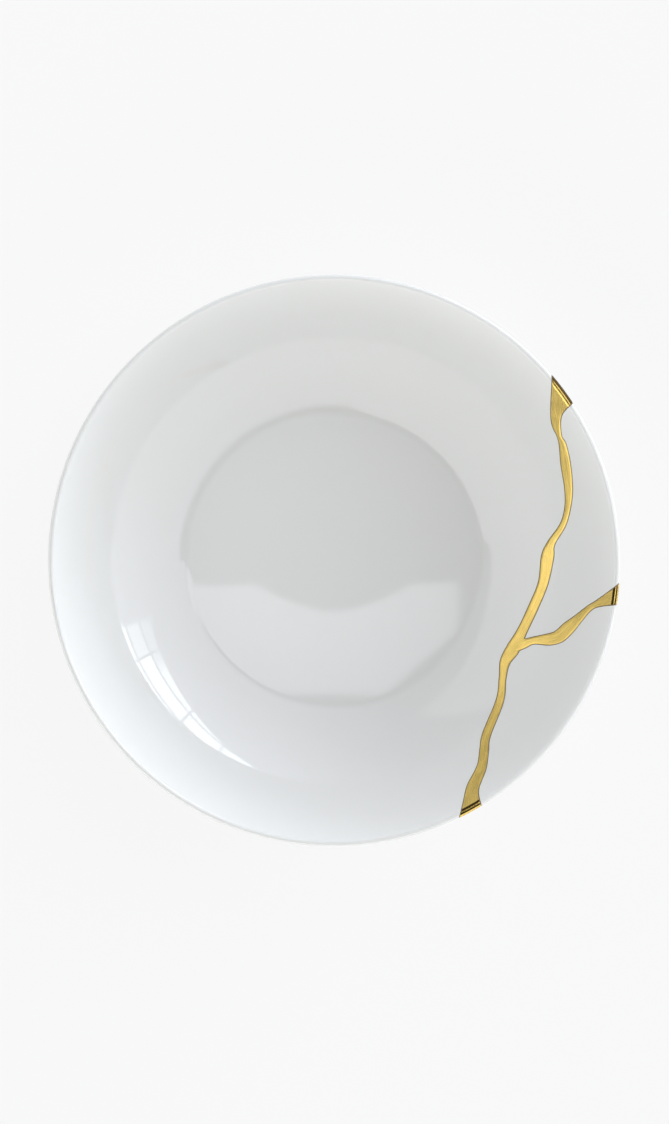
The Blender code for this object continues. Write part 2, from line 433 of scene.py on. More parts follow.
def gold_material(finish, seam, sizes):
    """Satin gold with brush streaks, and brown lacquer where the distance to its edge is small."""
    made, graph, shader = new_material("gold_on_lacquer")
    place = graph.object_place()
    edge = graph.add("ShaderNodeAttribute", {"attribute_name": "edge_distance"}, {}, "Fac")
    wander = graph.noise(place, 900.0)
    reach = edge + (wander - 0.5) * 0.00012
    gilded = reach.ramp(seam.lacquer_width - 0.00006, seam.lacquer_width + 0.00008)
    along = graph.add("ShaderNodeAttribute", {"attribute_name": "brush"}, {}, "Vector")
    streaks = graph.noise(along, 1.0, 3.0)
    cloud = graph.noise(place, 160.0)
    tone = graph.mix(cloud.ramp(0.35, 0.65), toned(finish.gold, 0.86), tuple(finish.gold))
    brushed = graph.mix(streaks.ramp(0.4, 0.75), tone, toned(finish.gold, 1.12))
    # The cap lines paint the gold in near-black lacquer colour, a painted reflection of the dark room in the
    # lip's edge
    reflection_lined = graph.mix(painted_reflection_lines(graph, place, sizes), brushed, toned(finish.lacquer, 0.35))
    colour = graph.mix(gilded, tuple(finish.lacquer), reflection_lined)
    bump = graph.add(
        "ShaderNodeBump", {}, {"Strength": 0.25, "Distance": 0.0001, "Height": streaks}, "Normal"
    )
    rough = (streaks * 0.12 + 0.22) * gilded + (1 - gilded) * 0.35
    feed(graph, shader, base_color=colour, metallic=gilded, roughness=rough, normal=bump)
    return made


def clay_edge_material(finish):
    """The broken edge of the porcelain inside the joint."""
    made, graph, shader = new_material("broken_edge")
    grain = graph.noise(graph.object_place(), 3000.0)
    colour = graph.mix(grain, toned(finish.bare, 0.9), tuple(finish.bare))
    feed(graph, shader, base_color=colour, roughness=0.7)
    return made


# The turned profile, as points (radius, height) with the unit normal that points out of the porcelain


def heading(slope):
    return Vector((math.cos(slope), math.sin(slope)))


def inward(slope):
    return Vector((-math.sin(slope), math.cos(slope)))


def arc_run(start, slope, turn, length, steps):
    """Points (place, slope) along an arc that leaves start at a slope and turns over its length."""
    run = []
    for step in range(steps + 1):
        share = step / steps
        half_turn = turn * share / 2
        chord = length * share
        if abs(half_turn) > 0:
            chord *= math.sin(half_turn) / half_turn
        run.append((start + heading(slope + half_turn) * chord, slope + 2 * half_turn))
    return run


def floor_run(sizes, steps):
    centre = Vector((0, sizes.foot_height + sizes.base_thickness))
    length = sizes.floor_radius * sizes.floor_slope / math.sin(sizes.floor_slope)
    return arc_run(centre, 0, sizes.floor_slope, length, steps)


def heel_run(sizes, steps):
    start = floor_run(sizes, 1)[-1][0]
    turn = sizes.heel_slope - sizes.floor_slope
    return arc_run(start, sizes.floor_slope, turn, sizes.heel_radius * turn, steps)


def lip_centre(sizes):
    half = sizes.lip_thickness / 2
    return Vector((sizes.rim_radius - half, sizes.height - half))


def wall_core(sizes, steps):
    """The arc half a lip's thickness below the inside, from the heel to the middle of the rounded lip."""
    start = heel_run(sizes, 1)[-1][0] - inward(sizes.heel_slope) * sizes.lip_thickness / 2
    chord = lip_centre(sizes) - start
    half_turn = math.atan2(chord.y, chord.x) - sizes.heel_slope
    length = chord.length * half_turn / math.sin(half_turn)
    return arc_run(start, sizes.heel_slope, 2 * half_turn, length, steps)


def inside_profile(sizes):
    """The inside from the middle of the floor to the lip, with its normals."""
    runs = floor_run(sizes, FLOOR_STEPS) + heel_run(sizes, HEEL_STEPS)[1:]
    half = sizes.lip_thickness / 2
    wall = [(place + inward(slope) * half, slope) for place, slope in wall_core(sizes, WALL_STEPS)[1:]]
    return [(place, inward(slope)) for place, slope in runs + wall]


def lip_profile(sizes):
    """Round the lip, without the ends that the inside and the outside hold."""
    slope = wall_core(sizes, 1)[-1][1]
    points = []
    for step in range(1, LIP_STEPS):
        normal = heading(slope + math.pi / 2 - math.pi * step / LIP_STEPS)
        points.append((lip_centre(sizes) + normal * sizes.lip_thickness / 2, normal))
    return points


def outside_profile(sizes):
    """The outside from the lip down towards the middle of the base, before the foot ring is fitted."""
    points = []
    for step, (place, slope) in enumerate(wall_core(sizes, WALL_STEPS)):
        share = step / WALL_STEPS
        thickness = sizes.wall_thickness + (sizes.lip_thickness - sizes.wall_thickness) * share
        points.append((place - inward(slope) * (thickness - sizes.lip_thickness / 2), -inward(slope)))
    runs = floor_run(sizes, FLOOR_STEPS) + heel_run(sizes, HEEL_STEPS)[1:]
    under = [(place - inward(slope) * sizes.wall_thickness, -inward(slope)) for place, slope in runs]
    return (under + points[1:])[::-1]


def rounded(centre, radius, start, end, steps):
    """An arc from one angle of its normal to another, both in degrees."""
    points = []
    for step in range(steps + 1):
        normal = heading(math.radians(start + (end - start) * step / steps))
        points.append((centre + normal * radius, normal))
    return points


def foot_profile(sizes, start):
    """From the fillet under the wall round the foot ring to the middle of the hollow under the base."""
    fillet_centre = start - Vector((0, sizes.foot_fillet))
    fillet = rounded(fillet_centre, sizes.foot_fillet, 90, 180, ROUND_STEPS)
    edge = sizes.foot_round
    inner = sizes.foot_radius - sizes.foot_width
    outer_edge = rounded(Vector((sizes.foot_radius - edge, edge)), edge, 0, -90, ROUND_STEPS)
    inner_edge = rounded(Vector((inner + edge, edge)), edge, -90, -180, ROUND_STEPS)
    corner = rounded(Vector((inner - edge, sizes.foot_height - edge)), edge, 0, 90, ROUND_STEPS)
    fillet, corner = ([(place, -normal) for place, normal in arc] for arc in (fillet, corner))
    base = []
    for step in range(1, BASE_STEPS + 1):
        radius = (inner - edge) * (1 - step / BASE_STEPS)
        base.append((Vector((radius, sizes.foot_height)), Vector((0, -1))))
    return fillet + outer_edge + inner_edge + corner + base


def full_profile(sizes):
    """The whole profile from the middle of the floor over the lip to the middle of the base."""
    reach = sizes.foot_radius + sizes.foot_fillet
    outside = outside_profile(sizes)
    kept = [item for item in outside if item[0].x > reach + sizes.foot_round / 2]
    high, low = kept[-1], outside[len(kept)]
    while low[0].x > reach:
        low = outside[outside.index(low) + 1]
    share = (high[0].x - reach) / (high[0].x - low[0].x)
    start = high[0].lerp(low[0], share)
    return inside_profile(sizes) + lip_profile(sizes) + kept + foot_profile(sizes, start)


def way_along(points):
    """The distance along a line to each of its points."""
    return np.concatenate([[0.0], np.cumsum(np.hypot(*np.diff(points, axis=0).T))])


def points_at(points, way, stops):
    """Points of a flat line at given distances along it."""
    return np.column_stack([np.interp(stops, way, points[:, axis]) for axis in (0, 1)])


class Surface:
    """The turned surface, laid out by the distance along its profile from the middle of the floor."""

    def __init__(self, sizes):
        points = full_profile(sizes)
        self.places = np.array([tuple(place) for place, normal in points])
        self.normals = np.array([tuple(normal) for place, normal in points])
        self.along = way_along(self.places)
        self.rim = int(np.argmax(self.places[:, 0]))
        self.rim_radius = sizes.rim_radius
        reach = sizes.foot_radius + sizes.foot_fillet * 2
        self.foot = self.rim + int(np.argmin(self.places[self.rim:, 0] > reach))

    def inside_along(self, radius):
        """Where a radius is met on the inside."""
        return np.interp(radius, self.places[:self.rim + 1, 0], self.along[:self.rim + 1])

    def outside_along(self, radius):
        """Where a radius is met on the outside."""
        stretch = slice(self.rim, self.foot)
        return np.interp(radius, self.places[stretch, 0][::-1], self.along[stretch][::-1])

    def at(self, flat):
        """Places and normals in space of points (way round the rim, way along the profile)."""
        angle = flat[:, 0] / self.rim_radius
        radius, height = points_at(self.places, self.along, flat[:, 1]).T
        out, up = points_at(self.normals, self.along, flat[:, 1]).T
        size = np.hypot(out, up)
        places = np.column_stack([radius * np.cos(angle), radius * np.sin(angle), height])
        normals = np.column_stack([out / size * np.cos(angle), out / size * np.sin(angle), up / size])
        return places, normals


# The crack in plan


def around(degrees, radius):
    return Vector((math.cos(math.radians(degrees)), math.sin(math.radians(degrees)))) * radius


def smooth_line(points):
    """A curve through the points, by the rule of Catmull and Rom."""
    ends = [points[0]] + points + [points[-1]]
    line = []
    for before, start, end, after in zip(ends, ends[1:], ends[2:], ends[3:]):
        for step in range(CRACK_STEPS):
            t = step / CRACK_STEPS
            bend = (2 * before - 5 * start + 4 * end - after) * t**2
            bend += (3 * start - before - 3 * end + after) * t**3
            line.append(0.5 * (2 * start + (end - before) * t + bend))
    return line + [points[-1]]


def crack_side(sizes, seam, stations, hand, clearance, corners):
    """One side of a crack in plan, on its left hand (1) or its right (-1), with its corners on the lip."""
    centres = [around(angle, share * sizes.rim_radius) for angle, share, width in stations]
    points = []
    for index, (angle, share, width) in enumerate(stations):
        before = centres[max(index - 1, 0)]
        after = centres[min(index + 1, len(centres) - 1)]
        along = (after - before).normalized()
        aside = Vector((-along.y, along.x)) * hand
        points.append(centres[index] + aside * (width * seam.gold_width / 2 + clearance))
    first, last = corners
    spread = math.degrees(clearance / sizes.rim_radius)
    if first is not None:
        points.insert(0, around(first[0] + first[1] * spread, sizes.rim_radius))
    points.append(around(last[0] + last[1] * spread, sizes.rim_radius))
    return smooth_line(points)


def bowl_side(sizes, seam, clearance):
    """The side of the main crack that the bowl keeps, from the upper cap down to the lower one."""
    corners = ((UPPER_CAP[1], 1), (LOWER_CAP[0], -1))
    return crack_side(sizes, seam, MAIN_CRACK, -1, clearance, corners)


def shard_side(sizes, seam, clearance):
    """The other side of the main crack, along both rim shards."""
    corners = ((UPPER_CAP[0], -1), (LOWER_CAP[1], 1))
    return crack_side(sizes, seam, MAIN_CRACK, 1, clearance, corners)


def branch_side(sizes, seam, hand, clearance):
    """A side of the branch, from the main crack out to the cap at the side of the bowl."""
    corner = (SIDE_CAP[1], 1) if hand > 0 else (SIDE_CAP[0], -1)
    return crack_side(sizes, seam, BRANCH_CRACK, hand, clearance, (None, corner))


def crossing(first, second):
    """Where two lines first meet: the place, and the index in each line of the point after it."""
    for far, (start, end) in enumerate(zip(second, second[1:])):
        for near, (low, high) in enumerate(zip(first, first[1:])):
            place = intersect_line_line_2d(low, high, start, end)
            if place is not None:
                return place, near + 1, far + 1
    raise ValueError("the branch of the crack doesn't leave the main crack")


def upper_shard_side(sizes, seam, clearance):
    """From the side cap in along the branch, then up the main crack to the upper cap."""
    main = shard_side(sizes, seam, clearance)
    branch = branch_side(sizes, seam, 1, clearance)
    place, on_main, on_branch = crossing(main, branch)
    return branch[on_branch:][::-1] + [place] + main[:on_main][::-1]


def lower_shard_side(sizes, seam, clearance):
    """From the lower cap up the main crack, then out along the branch to the side cap."""
    main = shard_side(sizes, seam, clearance)
    branch = branch_side(sizes, seam, -1, clearance)
    place, on_main, on_branch = crossing(main, branch)
    return main[on_main:][::-1] + [place] + branch[on_branch:]


def shard_outline(line, rim_radius):
    """A closed outline in plan: a side of the crack, closed by an arc outside the rim."""
    reach = rim_radius + CUT_MARGIN
    start = math.atan2(line[-1].y, line[-1].x)
    end = math.atan2(line[0].y, line[0].x)
    count = max(2, round(abs(end - start) / ARC_STEP))
    arc = [start + (end - start) * step / count for step in range(count + 1)]
    return line + [Vector((math.cos(angle), math.sin(angle))) * reach for angle in arc]


# Porcelain


def search_tree(places):
    """Finds the nearest of some places in space."""
    tree = kdtree.KDTree(len(places))
    for index, place in enumerate(places):
        tree.insert(place, index)
    tree.balance()
    return tree


def new_object(name, data):
    made = bpy.data.objects.new(name, data)
    bpy.context.scene.collection.objects.link(made)
    return made


def profile_object(sizes):
    """The profile as a line of points in the plane of X and Z."""
    points = full_profile(sizes)
    mesh = bpy.data.meshes.new("bowl_profile")
    mesh.from_pydata(
        [(place.x, 0.0, place.y) for place, normal in points],
        [(index, index + 1) for index in range(len(points) - 1)],
        [],
    )
    return new_object("bowl_profile", mesh)


def turning_tree():
    """Geometry Nodes that turn a profile in the plane of X and Z round the upright axis."""
    tree = bpy.data.node_groups.new("turn_profile", "GeometryNodeTree")
    kinds = {"Profile": "Geometry", "Turn Steps": "Int", "Weld Distance": "Float", "Finish": "Material"}
    for name, kind in kinds.items():
        tree.interface.new_socket(name, in_out="INPUT", socket_type="NodeSocket" + kind)
    tree.interface.new_socket("Geometry", in_out="OUTPUT", socket_type="NodeSocketGeometry")
    graph = Graph(tree)
    given = graph.node("NodeGroupInput")
    profile, steps, weld, finish = (Value(graph, given.outputs[index]) for index in range(4))
    count = graph.add(
        "GeometryNodeAttributeDomainSize", {"component": "MESH"}, {"Geometry": profile}, "Point Count"
    )
    grid = graph.add(
        "GeometryNodeMeshGrid",
        {},
        {"Size X": 1.0, "Size Y": 1.0, "Vertices X": steps + 1, "Vertices Y": count},
        "Mesh",
    )
    index = graph.add("GeometryNodeInputIndex")
    row = index.math("MODULO", count)
    turn = (index - row) / count / steps * math.tau
    line = graph.node("GeometryNodeSampleIndex", {"data_type": "FLOAT_VECTOR", "domain": "POINT"})
    tree.links.new(profile.socket, line.inputs["Geometry"])
    tree.links.new(graph.add("GeometryNodeInputPosition").socket, line.inputs["Value"])
    tree.links.new(row.socket, line.inputs["Index"])
    place = graph.add(
        "ShaderNodeVectorRotate",
        {"rotation_type": "Z_AXIS"},
        {"Vector": Value(graph, line.outputs[0]), "Angle": turn},
    )
    shaped = graph.add("GeometryNodeSetPosition", {}, {"Geometry": grid, "Position": place})
    welded = graph.add("GeometryNodeMergeByDistance", {}, {"Geometry": shaped, "Distance": weld})
    smooth = graph.add("GeometryNodeSetShadeSmooth", {}, {"Geometry": welded})
    real = graph.add("GeometryNodeRealizeInstances", {}, {"Geometry": smooth})
    finished = graph.add("GeometryNodeSetMaterial", {}, {"Geometry": real, "Material": finish})
    graph.node("NodeGroupOutput", sockets={0: finished})
    return tree


def plain_mesh(made, name):
    """The evaluated mesh of an object, as a mesh of its own."""
    graph = bpy.context.evaluated_depsgraph_get()
    graph.update()
    mesh = bpy.data.meshes.new_from_object(
        made.evaluated_get(graph), preserve_all_data_layers=True, depsgraph=graph
    )
    mesh.name = name
    while mesh.materials and mesh.materials[0] is None:
        mesh.materials.pop(index=0)
    return mesh


def turned_mesh(sizes, finish):
    """The whole bowl before it broke."""
    made = profile_object(sizes)
    modifier = made.modifiers.new("turn", "NODES")
    tree = turning_tree()
    modifier.node_group = tree
    values = {"Turn Steps": TURN_STEPS, "Weld Distance": WELD_DISTANCE, "Finish": finish}
    for item in tree.interface.items_tree:
        if item.in_out == "INPUT" and item.name in values:
            modifier[item.identifier] = values[item.name]
    mesh = plain_mesh(made, "turned_bowl")
    bpy.data.objects.remove(made)
    bm = bmesh.new()
    bm.from_mesh(mesh)
    bmesh.ops.recalc_face_normals(bm, faces=bm.faces)
    bm.to_mesh(mesh)
    bm.free()
    return mesh


def cutter(name, outline, height, finish):
    """An upright prism over an outline in plan, taller than the bowl."""
    bm = bmesh.new()
    points = [bm.verts.new((point.x, point.y, -CUT_MARGIN)) for point in outline]
    bottom = bm.faces.new(points)
    grown = bmesh.ops.extrude_face_region(bm, geom=[bottom])
    top = [item for item in grown["geom"] if isinstance(item, bmesh.types.BMVert)]
    bmesh.ops.translate(bm, verts=top, vec=(0, 0, height + 2 * CUT_MARGIN))
    bmesh.ops.recalc_face_normals(bm, faces=bm.faces)
    mesh = bpy.data.meshes.new(name)
    bm.to_mesh(mesh)
    bm.free()
    mesh.materials.append(finish)
    return new_object(name, mesh)


def glaze_normals(mesh, sizes):
    """Gives the glazed faces the normals of the turned profile, and leaves the broken edges flat."""
    surface = Surface(sizes)
    fine = np.linspace(0.0, surface.along[-1], NORMAL_SAMPLES)
    places, normals = surface.at(np.column_stack([np.zeros_like(fine), fine]))
    tree = search_tree([(x, 0.0, z) for x, y, z in places])
    points = np.zeros(len(mesh.vertices) * 3)
    mesh.vertices.foreach_get("co", points)
    points = points.reshape(-1, 3)
    radius = np.maximum(np.hypot(points[:, 0], points[:, 1]), WELD_DISTANCE)
    found = [tree.find((r, 0.0, z))[1] for r, z in zip(radius, points[:, 2])]
    flat = normals[found]
    outward = flat[:, 0] / radius
    smooth = np.column_stack([outward * points[:, 0], outward * points[:, 1], flat[:, 2]])
    corners = np.zeros((len(mesh.loops), 3))
    broken = len(mesh.materials) - 1
    for face in mesh.polygons:
        own = np.array(face.normal)
        for loop in face.loop_indices:
            vertex = mesh.loops[loop].vertex_index
            corners[loop] = own if face.material_index == broken else smooth[vertex]
        face.use_smooth = True
    mesh.normals_split_custom_set(corners)


def cut_piece(name, whole, outline, operation, sizes, edge_finish):
    """A piece of the turned bowl, inside or outside an outline in plan, as a plain mesh object."""
    made = new_object(name, whole.copy())
    made.data.materials.append(edge_finish)
    knife = cutter(name + "_cut", outline, sizes.height, edge_finish)
    modifier = made.modifiers.new("crack", "BOOLEAN")
    modifier.operation = operation
    modifier.solver = "EXACT"
    modifier.material_mode = "TRANSFER"
    modifier.object = knife
    mesh = plain_mesh(made, name)
    made.modifiers.clear()
    made.data = mesh
    bpy.data.objects.remove(knife)
    glaze_normals(mesh, sizes)
    return made


def place_piece(made, slot, *nodes):
    """Hands a finished piece to the frame."""
    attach(made, BODY)
    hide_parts(*nodes)


# Gold


def densified(line, step):
    """A line in plan with points closer together, closest near its ends, where the lip turns over."""
    points = np.array([tuple(point) for point in line])
    way = way_along(points)
    even = np.linspace(0.0, way[-1], int(way[-1] / step))
    close = np.geomspace(step / 100, step, 12)
    return points_at(points, way, np.unique(np.concatenate([even, close, way[-1] - close])))


def resampled(points, step):
    """A closed outline with evenly spaced points."""
    closed = np.vstack([points, points[:1]])
    way = way_along(closed)
    return points_at(closed, way, np.linspace(0.0, way[-1], int(way[-1] / step), endpoint=False))


def surface_loop(surface, line):
    """A side of the crack as a closed outline on the turned surface, along the inside and back outside."""
    plan = densified(line, OUTLINE_STEP)
    radius = np.minimum(np.hypot(plan[:, 0], plan[:, 1]), surface.rim_radius)
    round_rim = np.arctan2(plan[:, 1], plan[:, 0]) * surface.rim_radius
    inner = np.column_stack([round_rim, surface.inside_along(radius)])
    outer = np.column_stack([round_rim, surface.outside_along(radius)])
    return resampled(np.vstack([inner, outer[::-1]]), OUTLINE_STEP)


def within(points, outline):
    """Which points lie inside a closed outline."""
    inside = np.zeros(len(points), bool)
    starts = outline
    ends = np.roll(outline, -1, axis=0)
    for (x1, y1), (x2, y2) in zip(starts, ends):
        if y1 == y2:
            continue
        crosses = (y1 > points[:, 1]) != (y2 > points[:, 1])
        reach = x1 + (points[:, 1] - y1) * (x2 - x1) / (y2 - y1)
        inside ^= crosses & (points[:, 0] < reach)
    return inside


def distance_to(points, loops):
    """The distance from each point to the nearest outline."""
    dense = np.vstack([resampled(loop, OUTLINE_STEP / 6) for loop in loops])
    tree = search_tree([(x, y, 0.0) for x, y in dense])
    return np.array([tree.find((x, y, 0.0))[2] for x, y in points])


def ring(loop, depth, hand):
    """The points of an outline moved sideways by a depth."""
    along = np.roll(loop, -1, axis=0) - np.roll(loop, 1, axis=0)
    along /= np.hypot(along[:, 0], along[:, 1])[:, None]
    return loop + np.column_stack([-along[:, 1], along[:, 0]]) * depth * hand


def gold_points(loops):
    """Points of the gold between the outlines: rings that follow its edges, then an even grid."""
    outer, holes = loops[0], loops[1:]
    found = []
    for depth in GOLD_RINGS:
        for loop in loops:
            for hand in (1, -1):
                found.append((ring(loop, depth, hand), depth * 0.93))
    low, high = outer.min(axis=0), outer.max(axis=0)
    columns = np.arange(low[0], high[0], GOLD_GRID)
    rows = np.arange(low[1], high[1], GOLD_GRID * math.sqrt(0.75))
    grid = np.array([(x + GOLD_GRID / 2 * (index % 2), y) for index, y in enumerate(rows) for x in columns])
    found.append((grid, GOLD_RINGS[-1] + GOLD_GRID / 2))
    kept = []
    for points, least in found:
        points = points[within(points, outer)]
        for hole in holes:
            points = points[~within(points, hole)]
        kept.append(points[distance_to(points, loops) > least])
    return np.vstack(kept)


def gold_faces(loops, inner_points):
    """Triangles of the gold in the flat layout, and the points that they join."""
    points, edges = [], []
    for loop in loops:
        start = len(points)
        points += [Vector(point) for point in loop]
        edges += [(start + index, start + (index + 1) % len(loop)) for index in range(len(loop))]
    points += [Vector(point) for point in inner_points]
    flat, _, faces, _, _, _ = delaunay_2d_cdt(points, edges, [], 0, WELD_DISTANCE)
    flat = np.array([tuple(point) for point in flat])
    faces = np.array(faces)
    middles = flat[faces].mean(axis=1)
    keep = within(middles, loops[0])
    for hole in loops[1:]:
        keep &= ~within(middles, hole)
    return flat, faces[keep]


def gold_height(seam, distance):
    """Height over the glaze, from the distance to the edge: the lacquer first, then a rounded shoulder."""
    rise = np.clip((distance - seam.lacquer_width * 0.6) / seam.shoulder, 0.0, 1.0)
    rise = rise * rise * (3 - 2 * rise)
    sink = np.clip(1 - distance / (seam.lacquer_width * 0.4), 0.0, 1.0)
    lacquer = seam.lacquer_height
    return lacquer + (seam.gold_height - lacquer) * rise - lacquer * 2 * sink


def centre_way(sizes):
    """Points along the middle of both cracks in plan, with the distance and the side direction at each."""
    rows = []
    for stations in (MAIN_CRACK, BRANCH_CRACK):
        centres = smooth_line([around(angle, share * sizes.rim_radius) for angle, share, width in stations])
        way = 0.0
        for start, end in zip(centres, centres[1:]):
            along = (end - start).normalized()
            rows.append((start, way, along))
            way += (end - start).length
    return rows


def brush_coordinates(sizes, places):
    """For each place, the way along the crack and across it, as the brush went."""
    rows = centre_way(sizes)
    tree = search_tree([(centre.x, centre.y, 0.0) for centre, way, along in rows])
    strokes = np.zeros((len(places), 3))
    for index, place in enumerate(places):
        centre, way, along = rows[tree.find((place[0], place[1], 0.0))[1]]
        offset = Vector((place[0] - centre.x, place[1] - centre.y))
        across = offset.x * -along.y + offset.y * along.x
        stroke = (way + offset.dot(along), across, place[2])
        strokes[index] = [part * scale for part, scale in zip(stroke, BRUSH_SCALE)]
    return strokes


def gold_mesh(sizes, seam, finish):
    """The gold and its lacquer edge as one closed skin, inside the bowl, over the lip and outside."""
    surface = Surface(sizes)
    reach = seam.lacquer_reach
    sides = (
        bowl_side(sizes, seam, reach),
        upper_shard_side(sizes, seam, reach),
        lower_shard_side(sizes, seam, reach),
    )
    loops = [surface_loop(surface, side) for side in sides]
    flat, faces = gold_faces(loops, gold_points(loops))
    distance = distance_to(flat, loops)
    places, normals = surface.at(flat)
    top = places + normals * gold_height(seam, distance)[:, None]
    under = places - normals * seam.skin
    count = len(flat)
    triangles = faces.tolist() + (faces[:, ::-1] + count).tolist()
    ends = {}
    for a, b, c in faces.tolist():
        for start, end in ((a, b), (b, c), (c, a)):
            ends[(start, end)] = True
    rim = [(start, end) for start, end in ends if (end, start) not in ends]
    walls = [(end, start, start + count, end + count) for start, end in rim]
    mesh = bpy.data.meshes.new("gold_repair")
    mesh.from_pydata(np.vstack([top, under]).tolist(), [], triangles + walls)
    mesh.materials.append(finish)
    edge = mesh.attributes.new("edge_distance", "FLOAT", "POINT")
    edge.data.foreach_set("value", np.concatenate([distance, np.zeros(count)]))
    strokes = brush_coordinates(sizes, top)
    brush = mesh.attributes.new("brush", "FLOAT_VECTOR", "POINT")
    brush.data.foreach_set("vector", np.vstack([strokes, strokes]).ravel())
    bm = bmesh.new()
    bm.from_mesh(mesh)
    loose = [vertex for vertex in bm.verts if not vertex.link_faces]
    bmesh.ops.delete(bm, geom=loose, context="VERTS")
    bmesh.ops.recalc_face_normals(bm, faces=bm.faces)
    bm.to_mesh(mesh)
    bm.free()
    mesh.shade_smooth()
    mesh.set_sharp_from_angle(angle=math.radians(50))
    return mesh


# Operators


class BOWL_OT_porcelain(bpy.types.Operator):
    """Make the bowl and its two rim shards"""

    bl_idname = "bowl.porcelain"
    bl_label = "Porcelain"

    def execute(self, context):
        scene = context.scene
        sizes, seam, finish = scene.bowl_sizes, scene.seam_sizes, scene.bowl_finish
        glaze = porcelain_material(finish, sizes)
        clay = clay_edge_material(finish)
        whole = turned_mesh(sizes, glaze)
        gap = seam.joint_gap
        rim = sizes.rim_radius
        cuts = (
            ("bowl", "bowl_body", bowl_side, "DIFFERENCE"),
            ("upper_rim_piece", "upper_rim_shard", upper_shard_side, "INTERSECT"),
            ("lower_rim_piece", "lower_rim_shard", lower_shard_side, "INTERSECT"),
        )
        for name, node, side, operation in cuts:
            outline = shard_outline(side(sizes, seam, gap), rim)
            place_piece(cut_piece(name, whole, outline, operation, sizes, clay), "porcelain", node)
        return {"FINISHED"}


class BOWL_OT_gold(bpy.types.Operator):
    """Make the gold seam that joins the pieces"""

    bl_idname = "bowl.gold"
    bl_label = "Gold seam"

    def execute(self, context):
        scene = context.scene
        finish = gold_material(scene.bowl_finish, scene.seam_sizes, scene.bowl_sizes)
        mesh = gold_mesh(scene.bowl_sizes, scene.seam_sizes, finish)
        made = new_object("gold_repair", mesh)
        place_piece(made, "gold", "gold_seam")
        return {"FINISHED"}


def floor_material(stage):
    """A pale floor that gives off most of its own light, so that it stays even."""
    made, graph, shader = new_material("pale_floor")
    feed(graph, shader, base_color=(0.14, 0.14, 0.14, 1.0), roughness=0.9)
    shader.inputs["Specular IOR Level"].default_value = 0.0
    shader.inputs["Emission Color"].default_value = (1.0, 1.0, 1.0, 1.0)
    shader.inputs["Emission Strength"].default_value = stage.floor_glow
    return made


def bright_wall(elevation, side):
    """The shape of the white wall, with a slanting end on one side and a higher stretch in its top."""
    top = WALL_TOP + side.band(*RAISED_SIDES) * RAISED_BY
    top = top - (1 - side.ramp(-70, -5)) * 7 - side.ramp(115, 160) * 2.5
    slant = ((-42 - side) * 0.88 + 10.9).math("MAXIMUM", HORIZON)
    return side.band(*WALL_SIDES) * elevation.band((slant - 1, slant + 1), (top - 0.8, top + 0.8))


def wall_shade(elevation, side):
    """The wall is brightest before the bowl and dims towards both ends and the floor."""
    upwards = elevation.ramp(5, 22) * 0.16 + 0.84
    slanting_end = side.ramp(-45, 15) * 0.36 + 0.64
    near_end = 1 - side.ramp(70, 120) * 0.14
    return upwards * slanting_end * near_end


def overhead_panel(across, back):
    """A soft panel beside the camera, with a hollow near edge and one corner cut off."""
    near = 0.053 - (across * across * 4.2).math("MINIMUM", 0.028)
    far = ((across - 0.08).math("MAXIMUM", 0.0) * 0.15 + 0.142).math("MINIMUM", across * 0.8 + 0.182)
    depth = (back - near).ramp(-0.004, 0.004) * (1 - (back - far).ramp(-0.006, 0.006))
    return across.band(*PANEL_WIDTH) * depth


def window_panes(elevation, facing, aside, rise):
    """A window on the right with glazing bars, facing the bowl, behind a thin curtain at one end."""
    top = WINDOW_TOP - aside * 0.08
    panes = (1 - (rise - top).ramp(-0.008, 0.008)) * aside.band(*WINDOW_WIDTH)
    for bar in UPRIGHT_BARS:
        width = 0.004 * (1 + bar * bar)
        panes = panes * (aside - bar).math("ABSOLUTE").ramp(width, width * 2)
    for bar in LEVEL_BARS:
        panes = panes * (rise - bar).math("ABSOLUTE").ramp(0.005, 0.010)
    curtain = (rise.ramp(0.16, 0.18) * 0.45 + rise.ramp(0.28, 0.30) * 0.2) * (1 - aside.ramp(0.30, 0.32))
    edge = rise.ramp(0.28, 0.30) * (1 - aside.ramp(0.31, 0.48)) * aside.over(0.31) * 0.6
    return panes * (1 - curtain - edge) * facing.over(0.05) * elevation.over(HORIZON)


def light_shapes(graph):
    """How strongly each light shines from a direction, from 0 to 1."""
    x, y, z = graph.split(graph.add("ShaderNodeTexCoord", output="Generated"))
    degrees = 180 / math.pi
    elevation = z.math("ARCSINE") * degrees
    side = (y * -1).math("ARCTAN2", x * -1) * degrees
    over = z.math("MAXIMUM", 0.05)
    across, back = x / over, y / over
    turn = math.radians(WINDOW_AZIMUTH)
    facing = (x * math.cos(turn) + y * math.sin(turn)).math("MAXIMUM", 0.01)
    aside = (y * math.cos(turn) - x * math.sin(turn)) / facing
    wall = bright_wall(elevation, side)
    lift = (side + 94).math("ABSOLUTE").ramp(100, 74) * 24
    ceiling = (elevation - lift).ramp(WALL_TOP, WALL_TOP + 2) * (1 - wall)
    overhead = elevation.ramp(*OVERHEAD)
    horizon = (HORIZON - 1, HORIZON + 1)
    room = elevation.ramp(*horizon) * (1 - ceiling) * (1 - wall)
    east = side.math("ABSOLUTE").ramp(55, 115)
    low = elevation.band(horizon, LOW_TOP)
    return {
        "wall": wall * wall_shade(elevation, side),
        "ceiling": ceiling * (1 - overhead),
        "gradient": overhead * across.ramp(-0.18, 0.16),
        "side_room": room * east,
        "far_room": room * (1 - east),
        "low_near": low * side.band(*LOW_SIDES),
        "low_window": low * aside.band(*WINDOW_FOOT) * facing.over(0.05),
        "panel": overhead_panel(across, back) * z.over(0.3),
        "window": window_panes(elevation, facing, aside, z / facing),
    }


